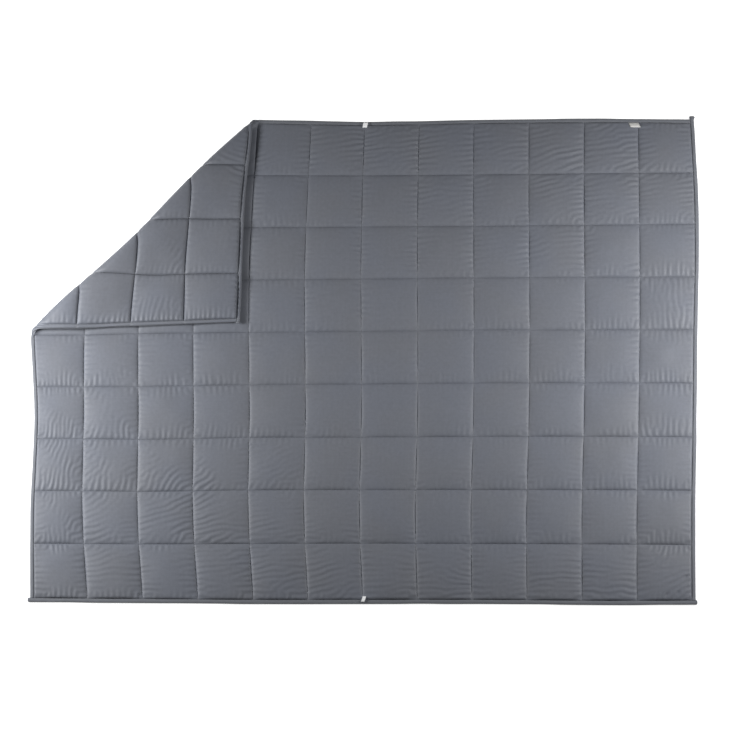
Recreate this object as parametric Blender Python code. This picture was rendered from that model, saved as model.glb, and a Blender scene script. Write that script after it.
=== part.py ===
"""A quilted weighted blanket, lying flat with one corner folded over onto it.

The blanket is worked out as it is sewn, flat, in (u, v, n): u along its length, v across it and
n out of its middle layer. One function, lay_down, then carries any such point to where it lies.
Every piece goes through it, so the binding, the loops and the label stay on the quilt everywhere.
Metres, +Z up. The origin is the middle of the blanket, on the surface that it lies on.
"""

import math

import bmesh
import bpy
import numpy as np
from mathutils import Matrix, Vector

MM = 0.001

# The cut and the quilting
LENGTH = 2.032
BINDING_WIDTH = 0.013
COLUMNS = 12
ROWS = 9
POCKET = (LENGTH - 2 * BINDING_WIDTH) / COLUMNS
WIDTH = ROWS * POCKET + 2 * BINDING_WIDTH
HALF_U = COLUMNS * POCKET / 2  # from the middle to the stitching inside the binding
HALF_V = ROWS * POCKET / 2

# Through the thickness, measured from the middle layer
SEAM_HALF = 1.6 * MM  # the quilt is this thin on each side where a seam is sewn
TAPE_HALF = 3.75 * MM  # the binding is thicker than a seam, and so carries the edge
CROWN = 8.4 * MM  # how far a filled pocket rises above its seams on the upper face
SAG = TAPE_HALF - SEAM_HALF  # how far it sags below them, onto the surface
FOLD_CROWN_OUT = 7.0 * MM  # on the folded corner, the face that is now on top
FOLD_CROWN_IN = 4.0 * MM  # and the face pressed between the layers
FILL_SPREAD = 0.1  # how unevenly the pockets are filled

# Where each pocket has points, as shares of the way from one seam to the next
POCKET_POINTS = (0.0, 0.13, 0.5, 0.87)
DOME_POWER = 3.2
DOME_FULLNESS = 0.8

# The fold runs at 45 degrees across the corner at -u, +v
FOLD_LEG = 0.7079  # along each edge, from the corner to where the bend starts
FOLD_RADIUS = 18.0 * MM
FOLD_STEPS = 6
SPACING = 18.5 * MM  # from the lower middle layer to the upper one, once it has come down
SETTLE = 0.19  # how far past the bend it comes down
BOW = 15.0 * MM  # the folded edge bows inwards this far between its two ends
BOW_PLACE = -0.25
BOW_WIDTH = 0.24
BOW_REACH = 0.2
FOLD_HANDOVER = 0.16  # past the bend, the folded corner's own drift takes over from the base's

GAP = 0.3 * MM
BODY_EDGE = BINDING_WIDTH - 2.3 * MM  # how far the quilt reaches into the binding

# How the cloth has drifted from the even grid, in millimetres, as it was laid by hand.
# One row for each height v up the blanket, one column for each place u along it.
BASE_U = (-1016, -836, -669, -334, 0, 334, 836, 1016)
BASE_DRIFT_ALONG = (
    # v,  left edge, seams 1, 2, 4, 6, 8 and 11, right edge
    (-765, (13, 6, 5, 3, -2, -8, -13, -16)),
    (-500, (10, -12, -13, -13, -12, -10, -11, -14)),
    (-167, (19, -11, -13, -11, -6, -1, -2, -8)),
    (90, (5, -12, -15, -14, -7, 1, 3, -4)),
    (300, (3, -2, -4, -13, -8, 1, 5, 3)),
    (500, (3, 0, 0, -4, -4, 1, 5, 2)),
    (765, (3, 0, 3, 11, 4, 3, 4, -5)),
)
BASE_DRIFT_ACROSS = (
    (-765, (3, 1, 0, -3, -3, -3, -6, -5)),
    (-585, (5, 4, 3, 4, 5, 4, 2, 1)),
    (-250, (-1, -2, -4, 2, 3, 5, 5, 4)),
    (83, (-7, -7, -4, 0, 3, 7, 8, 8)),
    (585, (-4, -4, -4, -1, -2, 1, 6, 7)),
    (765, (0, 0, 0, -2, -9, -3, 0, -3)),
)
# The same for the folded corner, by where it lies after the fold.
FOLD_U = (-863, -696, -529, -348)
FOLD_DRIFT_ALONG = (
    # v,  third seam, second seam, first seam, edge
    (97, (-10, -12, -17, -26)),
    (278, (-8, -8, -15, -21)),
    (445, (-8, -6, -12, -15)),
    (612, (-8, -6, -9, -7)),
    (760, (-8, -6, -8, 0)),
)
FOLD_DRIFT_ACROSS = (
    (97, (-6, 0, 6, 13)),
    (278, (-23, -19, -15, -12)),
    (445, (-8, -6, -6, -6)),
    (612, (-2, -1, -1, -1)),
    (760, (0, 0, 0, 0)),
)

# The binding is four lengths of tape. One of each pair runs past the corner as a short stub.
STUBS = {
    # tape: (past its start, past its end)
    "binding_bottom": (8.0 * MM, 5.0 * MM),
    "binding_right": (0.0, 12.0 * MM),
    "binding_top": (3.0 * MM, 0.0),
    "binding_left": (0.0, 0.0),
}
# Half of the tape's section: distance out from the stitching, and height above the middle layer
TAPE_OUTSIDE = ((0.0, 3.2), (2.5, 3.75), (8.5, 3.75), (12.0, 2.4), (13.0, 0.0))
TAPE_SLOT_DEPTH = 11.0 * MM

LOOP_WIDTH = 10.0 * MM
LOOP_SKEW = 6.0 * MM
LOOP_THICKNESS = 1.5 * MM
# Along the loop: distance out from the stitching, and height above the middle layer
LOOP_PATH = ((-0.9, 2.9), (-4.5, 4.2), (-7.6, 6.2), (-5.0, 8.2), (0.0, 7.7), (5.5, 6.6))
LOOP_U = 0.0

LABEL_WIDTH = 31.0 * MM
LABEL_SKEW = 7.0 * MM
LABEL_THICKNESS = 1.0 * MM
LABEL_PATH = ((-0.9, 2.9), (-4.0, 5.0), (-9.0, 6.9), (-17.5, 7.3))
LABEL_U = 0.821

COLOURS = {
    "quilted_body": ((0.150, 0.158, 0.175, 1), 0.85),
    "binding": ((0.140, 0.147, 0.160, 1), 0.80),
    "loop": ((0.850, 0.850, 0.830, 1), 0.80),
    "label": ((0.780, 0.770, 0.720, 1), 0.60),
}


def clear_scene():
    for obj in list(bpy.data.objects):
        bpy.data.objects.remove(obj, do_unlink=True)


def smoothstep(t):
    t = np.clip(t, 0.0, 1.0)
    return t * t * (3.0 - 2.0 * t)


def smooth_curve(stations, values, x):
    """A smooth curve through a value at each station: cubic pieces that meet with one slope.
    values has one row for each station, and each row has a value for every point, or one for all."""
    values = np.broadcast_to(values, (len(stations), len(x)))
    slopes = np.gradient(values, stations, axis=0)
    x = np.clip(x, stations[0], stations[-1])
    i = np.clip(np.searchsorted(stations, x) - 1, 0, len(stations) - 2)
    points = np.arange(len(x))
    span = stations[i + 1] - stations[i]
    t = (x - stations[i]) / span
    ends = values[i, points], values[i + 1, points]
    leans = slopes[i, points] * span, slopes[i + 1, points] * span
    return (
        ends[0] * (2 * t**3 - 3 * t**2 + 1)
        + leans[0] * (t**3 - 2 * t**2 + t)
        + ends[1] * (3 * t**2 - 2 * t**3)
        + leans[1] * (t**3 - t**2)
    )


def drift(table, columns, u, v):
    """The drift that a table gives at (u, v), in metres: along each of its rows, then between them."""
    columns = np.array(columns, float) * MM
    heights = np.array([row[0] for row in table], float) * MM
    along_rows = [
        smooth_curve(columns, np.array(row[1], float)[:, None] * MM, u) for row in table
    ]
    return smooth_curve(heights, np.array(along_rows), v)


def past_bend_start(u, v):
    """How far a point of the flat blanket is past the line where the bend starts."""
    corner_u = -HALF_U - BINDING_WIDTH
    corner_v = HALF_V + BINDING_WIDTH
    return (FOLD_LEG - (u - corner_u) - (corner_v - v)) / math.sqrt(2)


def fold_over(u, v, n):
    """Bends the corner over: flat, then half a turn of FOLD_RADIUS, then back over the base."""
    q = past_bend_start(u, v)
    turn = math.pi * FOLD_RADIUS
    angle = np.clip(q, 0.0, turn) / FOLD_RADIUS
    beyond = np.clip(q - turn, 0.0, None)
    before = np.clip(q, None, 0.0)
    out = before + (FOLD_RADIUS - n) * np.sin(angle) - beyond
    z = FOLD_RADIUS - (FOLD_RADIUS - n) * np.cos(angle)
    z = z - (2 * FOLD_RADIUS - SPACING) * smoothstep(beyond / SETTLE)
    along = (u + v) / math.sqrt(2)
    bow = np.exp(-(((along - BOW_PLACE) / BOW_WIDTH) ** 2))
    out = out - BOW * bow * smoothstep((out + BOW_REACH) / BOW_REACH)
    moved = (out - q) / math.sqrt(2)
    return u - moved, v + moved, z + TAPE_HALF, beyond


def lay_down(points):
    """Carries points of the flat blanket, rows of (u, v, n), to where they lie."""
    u, v, n = points.T
    x, y, z, beyond = fold_over(u, v, n)
    own = smoothstep(beyond / FOLD_HANDOVER)
    along = (1 - own) * drift(BASE_DRIFT_ALONG, BASE_U, x, y)
    across = (1 - own) * drift(BASE_DRIFT_ACROSS, BASE_U, x, y)
    along = along + own * drift(FOLD_DRIFT_ALONG, FOLD_U, x, y)
    across = across + own * drift(FOLD_DRIFT_ACROSS, FOLD_U, x, y)
    return np.column_stack([x + along, y + across, z])


def dome(share):
    """A pocket's rise across one direction: 0 on its seams, steep beside them, 1 in the middle."""
    share = np.clip(share, 0.0, 1.0)
    return (1.0 - np.abs(2.0 * share - 1.0) ** DOME_POWER) ** DOME_FULLNESS


def fill_quilt(points, upper):
    """Gives each point of the flat quilt its n, from where it is in its pocket."""
    u, v, _ = points.T
    inside = (np.abs(u) <= HALF_U + GAP) & (np.abs(v) <= HALF_V + GAP)
    column, row = (u + HALF_U) / POCKET, (v + HALF_V) / POCKET
    in_column, in_row = column - np.floor(column), row - np.floor(row)
    rise = np.where(inside, dome(in_column) * dome(in_row), 0.0)
    rise *= 1.0 + FILL_SPREAD * np.sin(2.3 * np.floor(column) + 1.7 * np.floor(row))
    first = POCKET_POINTS[1]
    to_seam = np.minimum.reduce([in_column, 1 - in_column, in_row, 1 - in_row])
    flat = np.where(inside, np.clip(to_seam / first, 0.0, 1.0), 0.0)
    folded = smoothstep(past_bend_start(u, v) / (math.pi * FOLD_RADIUS))
    top = SEAM_HALF + rise * ((1 - folded) * CROWN + folded * FOLD_CROWN_IN)
    base = SEAM_HALF + (1 - folded) * flat * SAG + folded * rise * FOLD_CROWN_OUT
    return np.column_stack([u, v, np.where(upper, top, -base)])


def stations(pockets, half):
    """Where the quilt has points along one direction: in every pocket, and at its cut edges."""
    inner = [
        (pocket + share) * POCKET - half
        for pocket in range(pockets)
        for share in POCKET_POINTS
    ]
    return [-half - BODY_EDGE, *inner, half, half + BODY_EDGE]


def cut_along_fold(bm):
    """Adds edges along the bend, so that it can turn smoothly."""
    toward = Vector((-1.0, 1.0, 0.0)).normalized()
    start = Vector((-HALF_U - BINDING_WIDTH + FOLD_LEG, HALF_V + BINDING_WIDTH, 0.0))
    for step in range(FOLD_STEPS + 1):
        through = start + toward * (math.pi * FOLD_RADIUS * step / FOLD_STEPS)
        geom = bm.verts[:] + bm.edges[:] + bm.faces[:]
        bmesh.ops.bisect_plane(bm, geom=geom, dist=1e-5, plane_co=through, plane_no=toward)


def material(kind):
    colour, roughness = COLOURS[kind]
    made = bpy.data.materials.get(kind) or bpy.data.materials.new(kind)
    made.use_nodes = True
    shader = made.node_tree.nodes["Principled BSDF"]
    shader.inputs["Base Color"].default_value = colour
    shader.inputs["Roughness"].default_value = roughness
    shader.inputs["Metallic"].default_value = 0.0
    return made


def finish(name, bm, kind):
    """Makes the object of a closed bmesh whose points are already where they lie."""
    bmesh.ops.recalc_face_normals(bm, faces=bm.faces[:])
    bmesh.ops.triangulate(bm, faces=bm.faces[:])
    if bm.calc_volume(signed=True) < 0:
        bmesh.ops.reverse_faces(bm, faces=bm.faces[:])
    mesh = bpy.data.meshes.new(name)
    bm.to_mesh(mesh)
    bm.free()
    mesh.shade_smooth()
    mesh.set_sharp_from_angle(angle=math.radians(50))
    mesh.materials.append(material(kind))
    obj = bpy.data.objects.new(name, mesh)
    bpy.context.scene.collection.objects.link(obj)
    return obj


def move_points(bm, places):
    for vert, place in zip(bm.verts, places):
        vert.co = place


def positions(bm):
    return np.array([vert.co[:] for vert in bm.verts])


def quilted_body():
    """Two faces on one grid, closed by a thin rim, filled and laid down as one solid."""
    us, vs = stations(COLUMNS, HALF_U), stations(ROWS, HALF_V)
    bm = bmesh.new()
    face = [[bm.verts.new((u, v, SEAM_HALF)) for v in vs] for u in us]
    for left, right in zip(face, face[1:]):
        for a, b, c, d in zip(left, right, right[1:], left[1:]):
            bm.faces.new((a, b, c, d))
    made = bmesh.ops.extrude_face_region(bm, geom=bm.faces[:])["geom"]
    lower = [item for item in made if isinstance(item, bmesh.types.BMVert)]
    bmesh.ops.translate(bm, verts=lower, vec=(0.0, 0.0, -2 * SEAM_HALF))
    cut_along_fold(bm)
    flat = positions(bm)
    move_points(bm, lay_down(fill_quilt(flat, flat[:, 2] > 0)))
    return finish("quilted_body", bm, "quilted_body")


def tape_section():
    """The binding's section, as (distance out, height): round outside, with a slot for the edge."""
    upper = [(out * MM, high * MM) for out, high in TAPE_OUTSIDE]
    lower = [(out, -high) for out, high in reversed(upper[:-1])]
    slot_half = SEAM_HALF + GAP
    slot = [(0.0, -slot_half), (TAPE_SLOT_DEPTH, -slot_half)]
    return upper + lower + slot + [(out, -high) for out, high in reversed(slot)]


def loft(bm, rings):
    """Closed sections joined into one tube with filled ends."""
    rows = [[bm.verts.new(point) for point in ring] for ring in rings]
    for a, b in zip(rows, rows[1:]):
        for i in range(len(a)):
            j = (i + 1) % len(a)
            bm.faces.new((a[i], a[j], b[j], b[i]))
    bm.faces.new(rows[0][::-1])
    bm.faces.new(rows[-1])


def binding(name, places, to_flat):
    """A length of tape along an edge. to_flat gives (u, v) from a place along it and out of it."""
    bm = bmesh.new()
    section = tape_section()
    loft(bm, [[(*to_flat(place, out), high) for out, high in section] for place in places])
    cut_along_fold(bm)
    move_points(bm, lay_down(positions(bm)))
    return finish(name, bm, "binding")


def between(values, low, high):
    """The stations along an edge that lie inside a length of tape, with its two ends."""
    return [low, *[value for value in values if low + MM < value < high - MM], high]


def bindings():
    us, vs = stations(COLUMNS, HALF_U), stations(ROWS, HALF_V)
    edge_u, edge_v = HALF_U + BINDING_WIDTH, HALF_V + BINDING_WIDTH
    before, after = STUBS["binding_bottom"]
    places = between(us, -edge_u - before, edge_u + after)
    binding("binding_bottom", places, lambda u, out: (u, -HALF_V - out))
    past = STUBS["binding_right"][1]
    places = between(vs, -HALF_V + GAP, edge_v + past)
    binding("binding_right", places, lambda v, out: (HALF_U + out, v))
    before = STUBS["binding_top"][0]
    places = between(us, -edge_u - before, HALF_U - GAP)
    binding("binding_top", places, lambda u, out: (u, HALF_V + out))
    places = between(vs, -HALF_V + GAP, HALF_V - GAP)
    binding("binding_left", places, lambda v, out: (-HALF_U - out, v))


def ribbon_outline(path, thickness):
    """A bent strip's two sides, from its middle line: first one way along, then back."""
    line = np.array(path) * MM
    run = np.gradient(line, axis=0)
    run /= np.linalg.norm(run, axis=1)[:, None]
    normal = np.column_stack([-run[:, 1], run[:, 0]]) * thickness / 2
    return np.vstack([line + normal, (line - normal)[::-1]])


def tab(name, kind, path, thickness, width, skew, middle, to_flat):
    """A short tape that is caught in the binding's stitching and lies where its path goes."""
    bm = bmesh.new()
    outline = ribbon_outline(path, thickness)
    reach = np.linspace(0.0, 1.0, len(path))
    lean = np.concatenate([reach, reach[::-1]]) * skew
    rings = []
    for side in (-width / 2, width / 2):
        shifted = middle - skew / 2 + lean + side
        rings.append([(*to_flat(u, out), high) for u, (out, high) in zip(shifted, outline)])
    loft(bm, rings)
    move_points(bm, lay_down(positions(bm)))
    return finish(name, bm, kind)


def tabs():
    def on_top(u, out):
        return u, HALF_V + out

    def on_bottom(u, out):
        return u, -HALF_V - out

    loop = (LOOP_PATH, LOOP_THICKNESS, LOOP_WIDTH)
    tab("loop_top", "loop", *loop, LOOP_SKEW, LOOP_U, on_top)
    tab("loop_bottom", "loop", *loop, -LOOP_SKEW, LOOP_U, on_bottom)
    label = (LABEL_PATH, LABEL_THICKNESS, LABEL_WIDTH)
    tab("label", "label", *label, LABEL_SKEW, LABEL_U, on_top)


def centre(objects):
    """Puts the origin at the middle of the whole blanket's box, on its lowest level."""
    points = np.array([vert.co[:] for obj in objects for vert in obj.data.vertices])
    middle = (points.min(axis=0) + points.max(axis=0)) / 2
    middle[2] = points[:, 2].min()
    for obj in objects:
        obj.data.transform(Matrix.Translation(-Vector(middle)))


def main():
    clear_scene()
    quilted_body()
    bindings()
    tabs()
    centre(bpy.context.scene.objects[:])


main()
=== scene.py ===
# %% [markdown]
# # A quilted weighted blanket with one corner turned over
#
# The blanket is two cotton cloths sewn together in squares. Each pocket holds soft padding and a scoop
# of glass beads, which make it heavy. A folded tape binds the raw edges, two white tape loops hold it
# in a cover, and a small blank label is caught in the top binding.
#
# Everything is worked out flat, as it was sewn, and then carried to where it lies. First comes the
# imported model, whose places and sizes every new piece keeps to.

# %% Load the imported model
import math

import bpy
import numpy as np
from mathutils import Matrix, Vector


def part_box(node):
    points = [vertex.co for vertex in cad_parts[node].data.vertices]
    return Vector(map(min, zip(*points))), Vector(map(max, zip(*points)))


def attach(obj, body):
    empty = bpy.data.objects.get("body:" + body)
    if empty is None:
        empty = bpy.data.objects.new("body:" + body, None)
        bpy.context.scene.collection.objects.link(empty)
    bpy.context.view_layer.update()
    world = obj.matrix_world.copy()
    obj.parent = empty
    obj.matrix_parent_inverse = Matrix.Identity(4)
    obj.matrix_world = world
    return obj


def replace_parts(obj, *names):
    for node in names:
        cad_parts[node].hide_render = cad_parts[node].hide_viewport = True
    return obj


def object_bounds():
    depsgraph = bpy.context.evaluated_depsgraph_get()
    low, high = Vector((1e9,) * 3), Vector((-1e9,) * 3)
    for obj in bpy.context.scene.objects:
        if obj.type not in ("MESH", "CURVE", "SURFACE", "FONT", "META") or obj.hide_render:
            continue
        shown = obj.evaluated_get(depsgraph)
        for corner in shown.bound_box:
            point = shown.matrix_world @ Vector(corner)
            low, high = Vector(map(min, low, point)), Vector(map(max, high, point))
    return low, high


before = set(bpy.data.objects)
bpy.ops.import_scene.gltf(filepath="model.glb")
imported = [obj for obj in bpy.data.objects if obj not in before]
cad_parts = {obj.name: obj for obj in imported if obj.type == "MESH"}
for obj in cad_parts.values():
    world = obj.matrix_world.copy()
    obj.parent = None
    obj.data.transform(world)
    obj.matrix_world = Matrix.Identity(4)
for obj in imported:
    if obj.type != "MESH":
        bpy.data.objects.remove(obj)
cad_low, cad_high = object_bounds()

MM = 0.001
print("CAD pieces:", ", ".join(sorted(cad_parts)))

# %% [markdown]
# ## The cut and the quilting
#
# A blanket of 80 by 60 inches is quilted in 12 by 9 squares of 167 mm. `u` runs along its length and
# `v` across it, both from the middle, and `n` is the height out of its middle layer. The outline is
# the solid model's. The pockets are a little fuller and the seams thinner, as soft cloth shows them.

# %% Driving sizes
LENGTH = 2.032
BINDING_WIDTH = 0.013
COLUMNS = 12
ROWS = 9
POCKET = (LENGTH - 2 * BINDING_WIDTH) / COLUMNS
HALF_U = COLUMNS * POCKET / 2
HALF_V = ROWS * POCKET / 2
EDGE_U = HALF_U + BINDING_WIDTH
EDGE_V = HALF_V + BINDING_WIDTH

SEAM_HALF = 1.1 * MM  # half the quilt's thickness where the thread pulls it tight
TAPE_HALF = 3.75 * MM  # half the binding's
CROWN = 11 * MM  # a pocket's rise above its seams on the upper face
SAG = TAPE_HALF - SEAM_HALF  # and its sag below them, onto the surface
FOLD_CROWN_OUT = 11.5 * MM  # on the folded corner, the face that is now on top
FOLD_TUCK = 3.5 * MM  # there, stretched cloth dives deeper at its seams
FOLD_CROWN_IN = 4 * MM  # and the face pressed between the layers
FILL_SPREAD = 0.1  # how unevenly the pockets are filled
FILL_TURN = (2.3, 1.7)  # radians between neighbours each way, so that they differ
DOME_POWER = 2.1
DOME_FULLNESS = 0.7
TUCK_SHARE = 0.25  # of the rise comes at once beside the stitching
TUCK_REACH = 2.5 * MM
# At the short and the long edges the outer pockets stay full up to the binding, as if their domes
# began this far outside it, and then the cloth dives to the stitching within about this distance.
EDGE_START = (-14 * MM, -12 * MM)
EDGE_DIVE = (1 * MM, 1.5 * MM)

print(f"pockets of {POCKET / MM:.1f} mm, flat cloth {LENGTH:.3f} x {2 * EDGE_V:.3f} m")

# %% [markdown]
# ## Laying it down
#
# A blanket never lies as an even grid: hands pull it, and its seams wander by one or two centimetres.
# The tables give that drift at a few places, in millimetres, with smooth curves between them. One
# corner is folded over a line at 45 degrees. A quilt this thick doesn't crease, it rolls round a
# bend, so the fold is a flat stretch, half a turn, and a flat stretch back.

# %% Where the cloth has drifted to
BASE_U = (-1016, -836, -669, -334, 0, 334, 836, 1016)
BASE_DRIFT_ALONG = (
    # v,  left edge, seams 1, 2, 4, 6, 8 and 11, right edge
    (-765, 13, 6, 5, 3, -2, -8, -13, -16),
    (-500, 10, -12, -13, -13, -12, -10, -11, -14),
    (-167, 19, -11, -13, -11, -6, -1, -2, -6),
    (90, 5, -12, -15, -14, -7, 1, 3, -1),
    (300, 3, -2, -4, -13, -8, 1, 5, 6),
    (500, 3, 0, 0, -4, -4, 1, 5, 6),
    (765, 3, 0, 3, 11, 4, 3, 4, -5),
)
BASE_DRIFT_ACROSS = (
    (-765, 3, 1, 0, -3, -3, -3, -6, -5),
    (-585, 5, 4, 3, 4, 5, 4, 2, 1),
    (-250, -1, -2, -4, 2, 3, 5, 5, 4),
    (83, -7, -7, -4, 0, 3, 7, 8, 8),
    (585, -4, -4, -4, -1, -2, 1, 6, 7),
    (765, 0, 0, 0, -2, -9, -3, 0, -3),
)
# The same for the folded corner, by where it lies after the fold
FOLD_U = (-863, -696, -529, -348)
FOLD_DRIFT_ALONG = (
    # v,  third seam, second seam, first seam, edge
    (97, -10, -12, -17, -26),
    (278, -8, -8, -15, -21),
    (445, -8, -6, -12, -15),
    (612, -8, -6, -9, -7),
    (760, -8, -6, -8, 0),
)
FOLD_DRIFT_ACROSS = (
    (97, -6, 0, 6, 13),
    (278, -23, -19, -15, -12),
    (445, -8, -6, -6, -6),
    (612, -2, -1, -1, -1),
    (760, 0, 0, 0, 0),
)
print("most drift of the base:", max(max(map(abs, row[1:])) for row in BASE_DRIFT_ALONG), "mm")

# %% Smooth curves through a table
def smoothstep(t):
    """3t² - 2t³, held at 0 below 0 and at 1 above 1."""
    t = np.clip(t, 0.0, 1.0)
    return t * t * (3.0 - 2.0 * t)


def smooth_curve(stations, values, x):
    """A cubic between each two stations that has their values, and the slope of their neighbours."""
    values = np.broadcast_to(values, (len(stations), len(x)))
    slopes = np.gradient(values, stations, axis=0)
    x = np.clip(x, stations[0], stations[-1])
    i = np.clip(np.searchsorted(stations, x) - 1, 0, len(stations) - 2)
    points = np.arange(len(x))
    span = stations[i + 1] - stations[i]
    t = (x - stations[i]) / span
    ends = values[i, points], values[i + 1, points]
    leans = slopes[i, points] * span, slopes[i + 1, points] * span
    return (
        ends[0] * (2 * t**3 - 3 * t**2 + 1)
        + leans[0] * (t**3 - 2 * t**2 + t)
        + ends[1] * (3 * t**2 - 2 * t**3)
        + leans[1] * (t**3 - t**2)
    )


def drift(table, columns, u, v):
    """The drift in metres at (u, v): smooth curves along the table's rows, then one between them."""
    table = np.array(table, float) * MM
    columns = np.array(columns, float) * MM
    along_rows = [smooth_curve(columns, row[1:, None], u) for row in table]
    return smooth_curve(table[:, 0], np.array(along_rows), v)


middle = drift(BASE_DRIFT_ALONG, BASE_U, np.zeros(1), np.zeros(1))
print(f"drift at the middle: {middle[0] / MM:.1f} mm")

# %% The fold
FOLD_LEG = 0.7079  # along each edge, from the corner to where the bend starts
FOLD_RADIUS = 18 * MM
FOLD_TURN = math.pi * FOLD_RADIUS
SPACING = 18.5 * MM  # from the lower middle layer to the upper one, once it has come down
SETTLE = 0.14  # how far past the bend it comes down
BOW = 15 * MM  # the folded edge bows inwards this far between its two ends
BOW_PLACE = -0.25
BOW_WIDTH = 0.24
BOW_REACH = 0.2
FOLD_HANDOVER = 0.16  # past the bend, the corner's own drift takes over from the base's
PINCHED = (
    # x, y and reach (m), share of the height: the stiff binding flattens the bend at its two ends
    (-0.355, 0.755, 0.17, 0.42),
    (-0.998, 0.120, 0.10, 0.35),
)
print(f"the bend takes up {FOLD_TURN / MM:.0f} mm of cloth")

# %% Fold and drift any point
def past_bend_start(u, v):
    """The distance past the fold's line: (leg - (u - corner u) - (corner v - v)) / root 2."""
    return (FOLD_LEG - (u + EDGE_U) - (EDGE_V - v)) / math.sqrt(2)


def fold_over(u, v, n):
    """Distance q past the line becomes an angle q / radius for half a turn, then runs back straight.
    In the bend a point is (radius - n) from the axis: out by its sine, and up by 1 - its cosine."""
    q = past_bend_start(u, v)
    angle = np.clip(q, 0.0, FOLD_TURN) / FOLD_RADIUS
    beyond = np.clip(q - FOLD_TURN, 0.0, None)
    before = np.clip(q, None, 0.0)
    out = before + (FOLD_RADIUS - n) * np.sin(angle) - beyond
    z = FOLD_RADIUS - (FOLD_RADIUS - n) * np.cos(angle)
    z -= (2 * FOLD_RADIUS - SPACING) * smoothstep(beyond / SETTLE)
    along = (u + v) / math.sqrt(2)
    bow = np.exp(-(((along - BOW_PLACE) / BOW_WIDTH) ** 2))
    out -= BOW * bow * smoothstep((out + BOW_REACH) / BOW_REACH)
    moved = (out - q) / math.sqrt(2)
    return u - moved, v + moved, z + TAPE_HALF, beyond


def lay_on_base(points):
    """Rows of (u, v, n) folded, then drifted: by the base's table, or past the bend by the corner's."""
    u, v, n = points.T
    x, y, z, beyond = fold_over(u, v, n)
    own = smoothstep(beyond / FOLD_HANDOVER)
    along = (1 - own) * drift(BASE_DRIFT_ALONG, BASE_U, x, y)
    along += own * drift(FOLD_DRIFT_ALONG, FOLD_U, x, y)
    across = (1 - own) * drift(BASE_DRIFT_ACROSS, BASE_U, x, y)
    across += own * drift(FOLD_DRIFT_ACROSS, FOLD_U, x, y)
    for middle_x, middle_y, reach, share in PINCHED:
        z = z * (1 - share * np.exp(-((x - middle_x) ** 2 + (y - middle_y) ** 2) / reach**2))
    return np.column_stack([x + along, y + across, z])


# %% Fit the cloth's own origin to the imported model's
BOTTOM_STUB_START = 8 * MM  # how far the bottom binding runs past the left edge
BOTTOM_STUB_END = 5 * MM  # and past the right edge
RIGHT_STUB_END = 12 * MM  # the right binding runs this far past the top edge
TOP_STUB_START = 3 * MM  # the top binding starts this far before the left edge
# The solid tape's section: out from the stitching, height above the middle layer (mm)
CAD_TAPE = ((0.0, 3.2), (2.5, 3.75), (8.5, 3.75), (12.0, 2.4), (13.0, 0.0))

tape_out, tape_high = np.tile(CAD_TAPE, (2, 1)).T * MM
tape_high[len(CAD_TAPE) :] *= -1
zero = 0 * tape_out
left_end = np.column_stack([zero - EDGE_U - BOTTOM_STUB_START, -HALF_V - tape_out, tape_high])
top_end = np.column_stack([HALF_U + tape_out, zero + EDGE_V + RIGHT_STUB_END, tape_high])
TO_FRAME = np.array(
    [
        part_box("binding_bottom")[0].x - lay_on_base(left_end)[:, 0].min(),
        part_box("binding_right")[1].y - lay_on_base(top_end)[:, 1].max(),
        cad_low.z,
    ]
)


def lay_down(points):
    """Carries rows of (u, v, n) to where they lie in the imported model's frame."""
    return lay_on_base(points) + TO_FRAME


print("the cloth's origin sits at", np.round(TO_FRAME / MM, 2), "mm in the frame")

# %% [markdown]
# ## Small unevenness
#
# Nothing sewn is even, so many places want a soft random field that is the same in each run. Value
# noise does that: random numbers on a coarse lattice, with smooth steps between them.

# %% A soft random field over the flat cloth
LATTICE = 64


def unevenness(u, v, size, seed):
    """A random number at each crossing of a lattice of `size` metres, blended with 3t² - 2t³."""
    lattice = np.random.default_rng(seed).normal(0.0, 1.0, (LATTICE, LATTICE))
    a, b = np.asarray(u) / size + LATTICE / 2, np.asarray(v) / size + LATTICE / 2
    i, j = np.floor(a).astype(int), np.floor(b).astype(int)
    s, t = smoothstep(a - i), smoothstep(b - j)
    i, j, k, m = i % LATTICE, j % LATTICE, (i + 1) % LATTICE, (j + 1) % LATTICE
    near = lattice[i, j] * (1 - s) + lattice[k, j] * s
    far = lattice[i, m] * (1 - s) + lattice[k, m] * s
    return near * (1 - t) + far * t


print("unevenness along a line:", unevenness(np.linspace(0, 0.3, 4), 0, 0.1, 1).round(1))

# %% [markdown]
# ## The puckers, by letting a sheet of springs settle
#
# Quilting gathers the cloth along the stitching, so between the seams there is more cloth than room,
# Blender's own Cloth took 20 to 45 seconds for a dozen of the 108 pockets, and plain arrays do them
# all in less.
# # and it buckles into small ridges. So the whole face is a flat net of springs a little longer than
# # their places, pinned along every seam. The padding pushes back and the cloth resists bending, which
# # makes ridges about 15 mm wide where cloth would have them. Plain arrays settle all 108 pockets.

# %% The spring sheet
CELLS = 46  # springs along one side of a pocket
CELL = POCKET / CELLS
SETTLE_STEPS = 250
STRETCH = 0.2  # how much of a spring's error its two ends take up in a step
BENDING = 0.0013  # how much of the bending is taken out in a step
PADDING = 0.0024  # and how much of the height
KEPT_SPEED = 0.9
START_ROUGHNESS = 0.5 * MM
SPRINGS = (
    # steps along u and v, strength, and where in the net their first and second ends are
    (1, 0, 1.0, np.s_[:, :-1], np.s_[:, 1:]),
    (0, 1, 1.0, np.s_[:, :, :-1], np.s_[:, :, 1:]),
    (1, 1, 0.5, np.s_[:, :-1, :-1], np.s_[:, 1:, 1:]),
    (1, -1, 0.5, np.s_[:, :-1, 1:], np.s_[:, 1:, :-1]),
)
print(f"{COLUMNS * ROWS * CELLS**2} cells of {CELL / MM:.1f} mm")

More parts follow.
